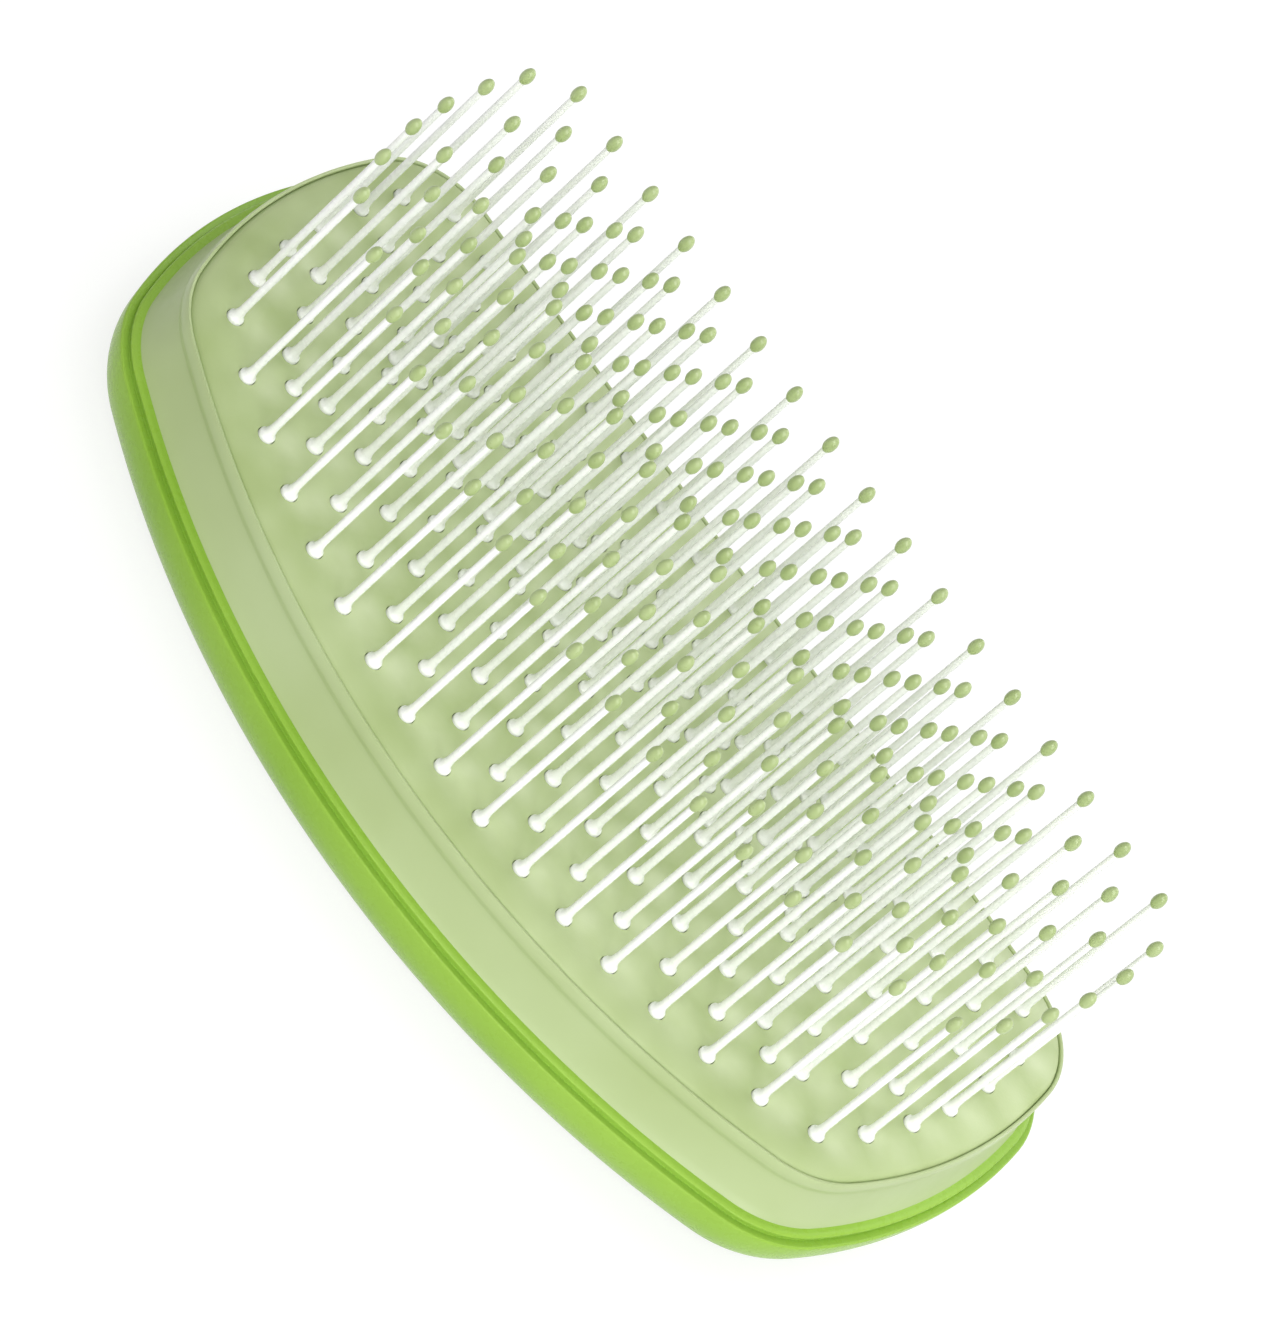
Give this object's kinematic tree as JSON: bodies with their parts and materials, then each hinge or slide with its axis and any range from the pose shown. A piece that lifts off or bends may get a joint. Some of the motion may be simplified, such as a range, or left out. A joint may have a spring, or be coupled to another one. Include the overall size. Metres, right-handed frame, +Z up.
{
  "type": "detangling brush",
  "caption": "Palm-held detangling brush: bowed green back shell, coved bezel, soft cushion pad and staggered rows of ball-tipped pins that tilt in the pad.",
  "frame": {"origin": "middle of the flat of the back, on which the brush rests with its pins up", "axes": "+X along the brush, +Y towards its straight long side, +Z up along the pins"},
  "size_m": [0.1176, 0.0614, 0.039],
  "materials": {
    "shell_gloss": "glossy moulded plastic, grass green",
    "bezel_satin": "satin moulded plastic, pale olive green",
    "pad_rubber": "soft matt rubber, pale olive green",
    "pin_nylon": "smooth near-white translucent nylon",
    "tip_resin": "smooth moulded bead, pale olive green"
  },
  "bodies": {
    "housing": {"back_shell": "shell_gloss", "bezel_frame": "bezel_satin", "cushion_pad": "pad_rubber"},
    "row_1": {"pin_row_1": "pin_nylon", "tip_row_1": "tip_resin"},
    "row_2": {"pin_row_2": "pin_nylon", "tip_row_2": "tip_resin"},
    "row_3": {"pin_row_3": "pin_nylon", "tip_row_3": "tip_resin"},
    "row_4": {"pin_row_4": "pin_nylon", "tip_row_4": "tip_resin"},
    "row_5": {"pin_row_5": "pin_nylon", "tip_row_5": "tip_resin"},
    "row_6": {"pin_row_6": "pin_nylon", "tip_row_6": "tip_resin"},
    "row_7": {"pin_row_7": "pin_nylon", "tip_row_7": "tip_resin"},
    "row_8": {"pin_row_8": "pin_nylon", "tip_row_8": "tip_resin"},
    "row_9": {"pin_row_9": "pin_nylon", "tip_row_9": "tip_resin"}
  },
  "joints": [
    {"name": "row_1_tilt", "type": "hinge", "parent": "housing", "child": "row_1", "pos_m": [0, 0.02335, 0.01595], "axis": [1, 0, 0], "range_deg": [-5, 5], "stiffness_Nm_per_rad": 0.004},
    {"name": "row_2_tilt", "type": "hinge", "parent": "housing", "child": "row_2", "pos_m": [0, 0.01727, 0.01595], "axis": [1, 0, 0], "range_deg": [-5, 5], "stiffness_Nm_per_rad": 0.004},
    {"name": "row_3_tilt", "type": "hinge", "parent": "housing", "child": "row_3", "pos_m": [0, 0.01171, 0.01595], "axis": [1, 0, 0], "range_deg": [-5, 5], "stiffness_Nm_per_rad": 0.004},
    {"name": "row_4_tilt", "type": "hinge", "parent": "housing", "child": "row_4", "pos_m": [0, 0.00637, 0.01595], "axis": [1, 0, 0], "range_deg": [-5, 5], "stiffness_Nm_per_rad": 0.004},
    {"name": "row_5_tilt", "type": "hinge", "parent": "housing", "child": "row_5", "pos_m": [0, 0.00175, 0.01595], "axis": [1, 0, 0], "range_deg": [-5, 5], "stiffness_Nm_per_rad": 0.004},
    {"name": "row_6_tilt", "type": "hinge", "parent": "housing", "child": "row_6", "pos_m": [0, -0.0045, 0.01595], "axis": [1, 0, 0], "range_deg": [-5, 5], "stiffness_Nm_per_rad": 0.004},
    {"name": "row_7_tilt", "type": "hinge", "parent": "housing", "child": "row_7", "pos_m": [0, -0.00983, 0.01595], "axis": [1, 0, 0], "range_deg": [-5, 5], "stiffness_Nm_per_rad": 0.004},
    {"name": "row_8_tilt", "type": "hinge", "parent": "housing", "child": "row_8", "pos_m": [0, -0.01378, 0.01595], "axis": [1, 0, 0], "range_deg": [-5, 5], "stiffness_Nm_per_rad": 0.004},
    {"name": "row_9_tilt", "type": "hinge", "parent": "housing", "child": "row_9", "pos_m": [0, -0.01875, 0.01595], "axis": [1, 0, 0], "range_deg": [-5, 5], "stiffness_Nm_per_rad": 0.004}
  ]
}
